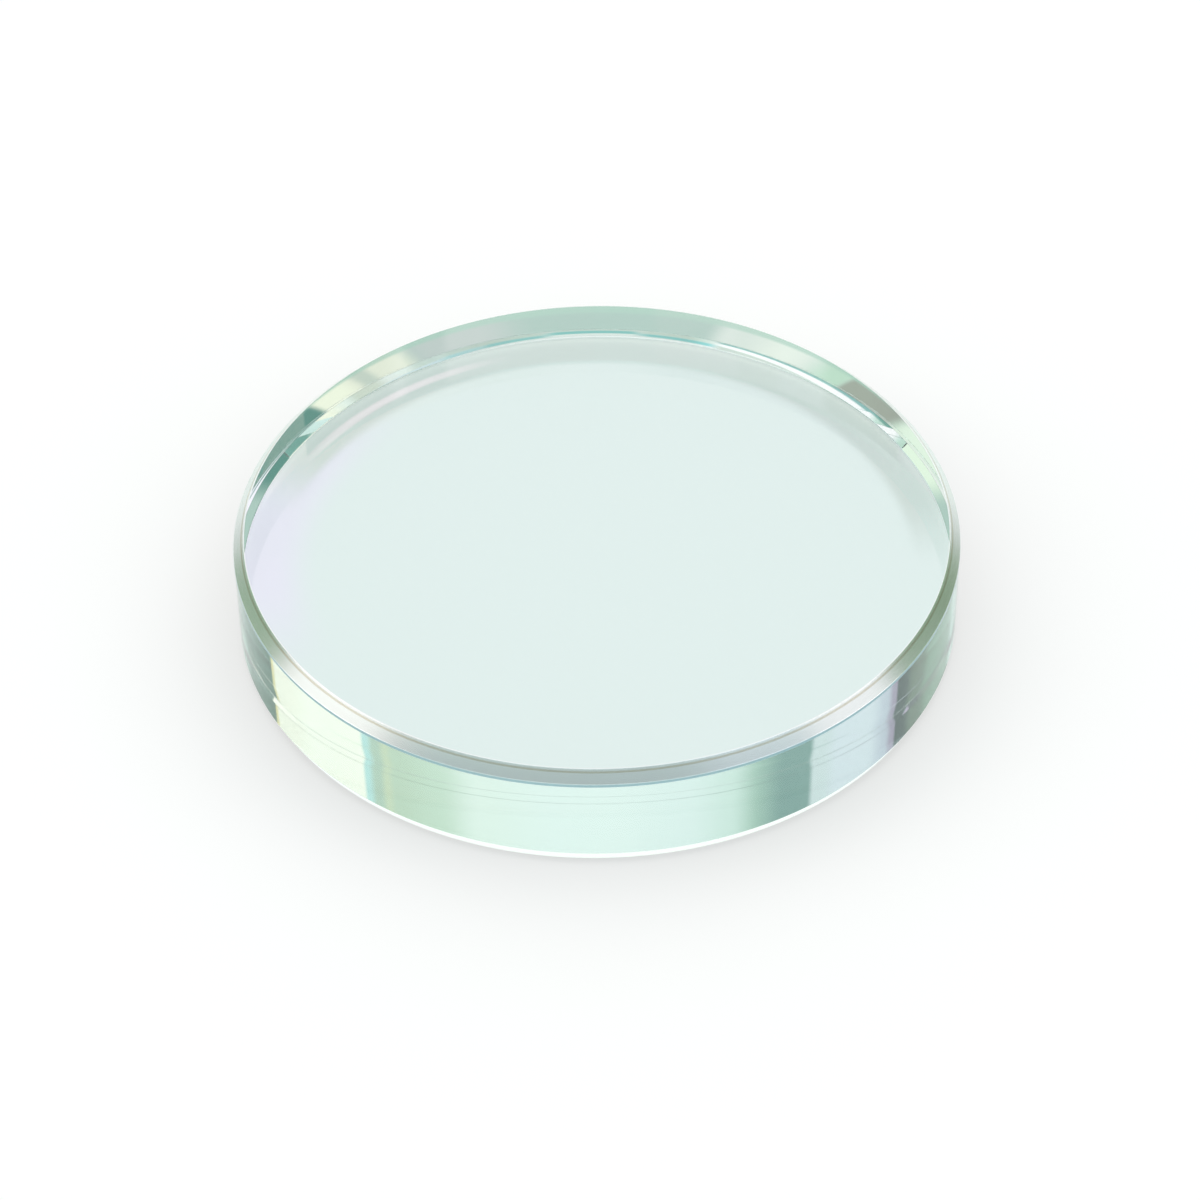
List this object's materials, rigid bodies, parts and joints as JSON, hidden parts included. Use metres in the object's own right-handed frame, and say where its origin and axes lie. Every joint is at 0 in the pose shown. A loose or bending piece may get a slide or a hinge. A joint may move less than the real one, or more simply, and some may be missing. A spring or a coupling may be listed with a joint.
{
  "type": "laser protective lens",
  "caption": "Round flat optical window of pale green glass with polished faces and rim and a protective bevel at each edge, which shields laser optics from spatter and dust.",
  "frame": {"origin": "centre of the lower face, where the lens is seated", "axes": "+Z along the optical axis, from the seated face to the upper face"},
  "size_m": [0.0254, 0.0254, 0.004],
  "materials": {
    "optical_glass": "polished, anti-reflection coated faces"
  },
  "bodies": {
    "root": {"protective_lens": "optical_glass"}
  },
  "joints": []
}
